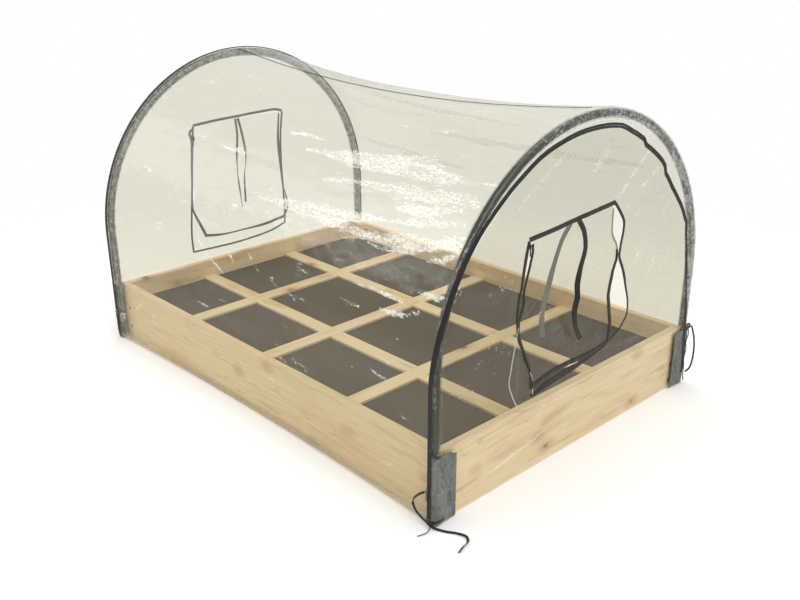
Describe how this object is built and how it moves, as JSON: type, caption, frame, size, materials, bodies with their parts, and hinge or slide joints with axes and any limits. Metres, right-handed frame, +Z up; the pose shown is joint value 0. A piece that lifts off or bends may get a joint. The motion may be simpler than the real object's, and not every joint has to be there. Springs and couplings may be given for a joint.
{
  "type": "cold frame",
  "caption": "Softwood raised bed with a slatted planting grid under a clear film tunnel cover on hoops, with zipped end panels and roll-up windows.",
  "frame": {"origin": "on the ground at the middle of the bed's underside", "axes": "+X along the bed towards the near end, +Y across the bed towards its back, +Z up"},
  "size_m": [1.3077, 0.9228, 0.7365],
  "materials": {
    "pine": "matte",
    "growing_medium": "matte",
    "pole": "satin",
    "steel": "satin",
    "film": "gloss",
    "sleeve_film": "gloss",
    "tape": "matte",
    "pocket_cloth": "matte",
    "zip_black": "satin"
  },
  "bodies": {
    "bed": {"front_board": "pine", "back_board": "pine", "near_end_board": "pine", "far_end_board": "pine", "corner_posts": "pine", "board_screws": "steel", "growing_medium": "growing_medium", "front_long_slat": "pine", "back_long_slat": "pine", "near_cross_slat": "pine", "middle_cross_slat": "pine", "far_cross_slat": "pine"},
    "cover": {"near_hoop_arch": "pole", "near_hoop_legs": "pole", "near_hoop_ferrules": "steel", "near_hoop_sleeve": "sleeve_film", "far_hoop_arch": "pole", "far_hoop_legs": "pole", "far_hoop_ferrules": "steel", "far_hoop_sleeve": "sleeve_film", "tunnel_sheet_front": "film", "tunnel_sheet_back": "film", "ridge_seam": "tape", "near_apron": "film", "far_apron": "film", "corner_pockets": "pocket_cloth", "corner_ties": "tape", "near_arch_zip_outer": "tape", "near_arch_zip_lower": "tape", "far_arch_zip_outer": "tape", "far_arch_zip_lower": "tape"},
    "near_end": {"near_end_panel": "film", "near_arch_zip_inner": "tape", "near_window_frame_tape": "tape", "near_window_top_binding": "tape", "near_window_inner_tie": "tape"},
    "far_end": {"far_end_panel": "film", "far_arch_zip_inner": "tape", "far_window_frame_tape": "tape", "far_window_top_binding": "tape", "far_window_inner_tie": "tape"},
    "near_flap": {"near_window_flap": "film", "near_window_flap_tape": "tape", "near_window_outer_tie": "tape"},
    "far_flap": {"far_window_flap": "film", "far_window_flap_tape": "tape", "far_window_outer_tie": "tape"},
    "near_arch_slider": {"near_arch_slider": "steel"},
    "near_arch_tab": {"near_arch_pull_tab": "steel"},
    "near_window_slider": {"near_window_slider": "zip_black"},
    "near_window_tab": {"near_window_pull_tab": "zip_black"},
    "far_arch_slider": {"far_arch_slider": "steel"},
    "far_arch_tab": {"far_arch_pull_tab": "steel"},
    "far_window_slider": {"far_window_slider": "zip_black"},
    "far_window_tab": {"far_window_pull_tab": "zip_black"}
  },
  "joints": [
    {"name": "cover_lift", "type": "slide", "parent": "bed", "child": "cover", "axis": [0, 0, 1], "range_m": [0, 0.3]},
    {"name": "near_end_fold", "type": "hinge", "parent": "cover", "child": "near_end", "pos_m": [0.6035, 0, 0.1565], "axis": [0, 1, 0], "range_deg": [0, 100]},
    {"name": "far_end_fold", "type": "hinge", "parent": "cover", "child": "far_end", "pos_m": [-0.6035, 0, 0.1565], "axis": [0, -1, 0], "range_deg": [0, 100]},
    {"name": "near_flap_lift", "type": "hinge", "parent": "near_end", "child": "near_flap", "pos_m": [0.6045, 0, 0.53], "axis": [0, -1, 0], "range_deg": [0, 150]},
    {"name": "far_flap_lift", "type": "hinge", "parent": "far_end", "child": "far_flap", "pos_m": [-0.6045, 0, 0.53], "axis": [0, 1, 0], "range_deg": [0, 150]},
    {"name": "near_arch_slider_travel", "type": "slide", "parent": "cover", "child": "near_arch_slider", "axis": [0, 0, 1], "range_m": [0, 0.2]},
    {"name": "near_arch_tab_swing", "type": "hinge", "parent": "near_arch_slider", "child": "near_arch_tab", "pos_m": [0.5934, -0.44575, 0.078], "axis": [-1, 0, 0], "range_deg": [0, 170]},
    {"name": "near_window_slider_travel", "type": "slide", "parent": "near_end", "child": "near_window_slider", "axis": [0, 0, -1], "range_m": [0, 0.28]},
    {"name": "near_window_tab_swing", "type": "hinge", "parent": "near_window_slider", "child": "near_window_tab", "pos_m": [0.60735, -0.19, 0.504], "axis": [0, -1, 0], "range_deg": [0, 170]},
    {"name": "far_arch_slider_travel", "type": "slide", "parent": "cover", "child": "far_arch_slider", "axis": [0, 0, 1], "range_m": [0, 0.2]},
    {"name": "far_arch_tab_swing", "type": "hinge", "parent": "far_arch_slider", "child": "far_arch_tab", "pos_m": [-0.5934, -0.44575, 0.078], "axis": [-1, 0, 0], "range_deg": [0, 170]},
    {"name": "far_window_slider_travel", "type": "slide", "parent": "far_end", "child": "far_window_slider", "axis": [0, 0, -1], "range_m": [0, 0.28]},
    {"name": "far_window_tab_swing", "type": "hinge", "parent": "far_window_slider", "child": "far_window_tab", "pos_m": [-0.60735, -0.154, 0.504], "axis": [0, 1, 0], "range_deg": [0, 170]}
  ]
}
